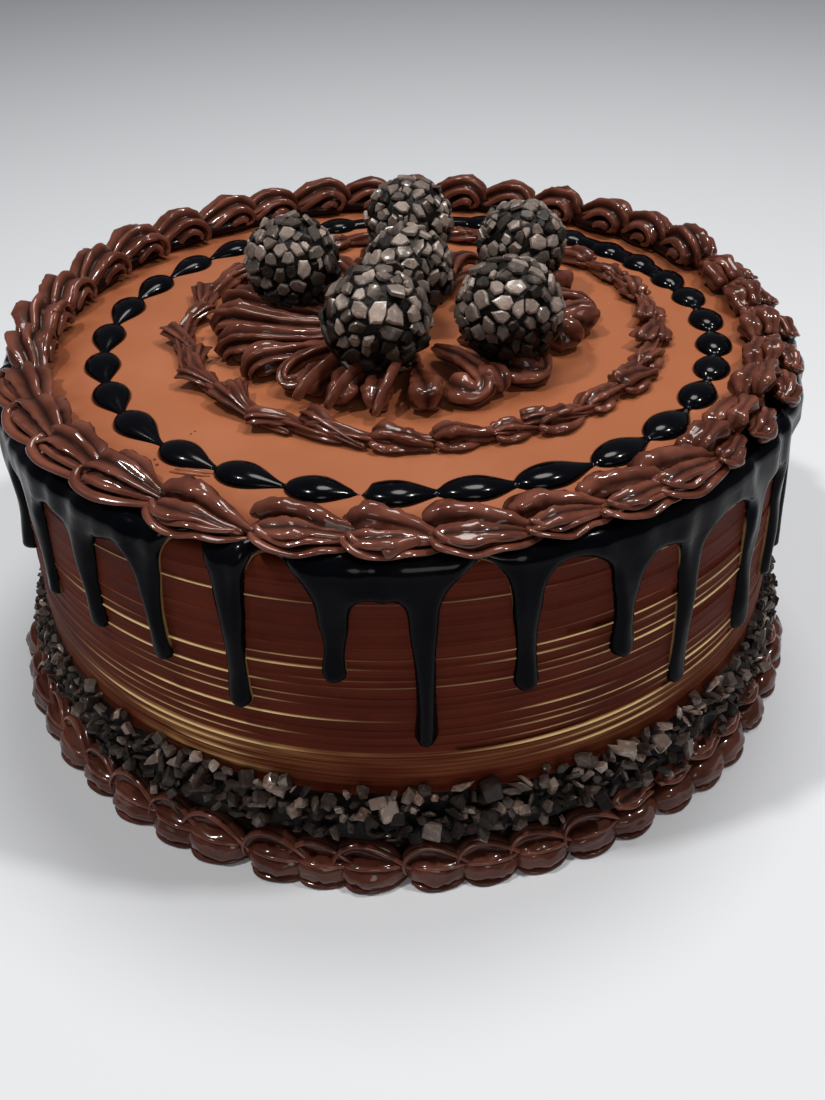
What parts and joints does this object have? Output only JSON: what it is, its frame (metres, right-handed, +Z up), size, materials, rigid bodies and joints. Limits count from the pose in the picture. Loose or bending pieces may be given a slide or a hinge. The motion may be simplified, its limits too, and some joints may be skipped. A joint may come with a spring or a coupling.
{
  "type": "chocolate cake",
  "caption": "Whole round chocolate cake with a combed side, dripping dark glaze, piped rope borders, a bead ring, a chip band and flake-crusted truffles on a rosette.",
  "frame": {"origin": "middle of the cake's underside, on the surface that it stands on", "axes": "+Z up through the middle of the cake; -Y towards the front, the side that the picture shows; +X to the right seen from the front"},
  "size_m": [0.2478, 0.2473, 0.1304],
  "materials": {
    "frosting": "satin dark chocolate frosting, combed, with gold-tan glints on its ridges",
    "milk_ganache": "smooth satin milk chocolate ganache",
    "dark_glaze": "mirror-gloss near-black chocolate glaze",
    "piped_ganache": "glossy piped chocolate ganache",
    "flake_crust": "flat dark chocolate flakes with a grey sheen",
    "chocolate_chip": "broken dark chocolate chips"
  },
  "bodies": {
    "root": {"cake": "frosting", "top_ganache": "milk_ganache", "ganache_drip": "dark_glaze", "top_border": "piped_ganache", "bead_ring": "dark_glaze", "inner_ring": "piped_ganache", "centre_rosette": "piped_ganache", "truffle_1": "flake_crust", "truffle_2": "flake_crust", "truffle_3": "flake_crust", "truffle_4": "flake_crust", "truffle_5": "flake_crust", "truffle_6": "flake_crust", "bottom_border": "piped_ganache", "chip_band": "chocolate_chip"}
  },
  "joints": []
}
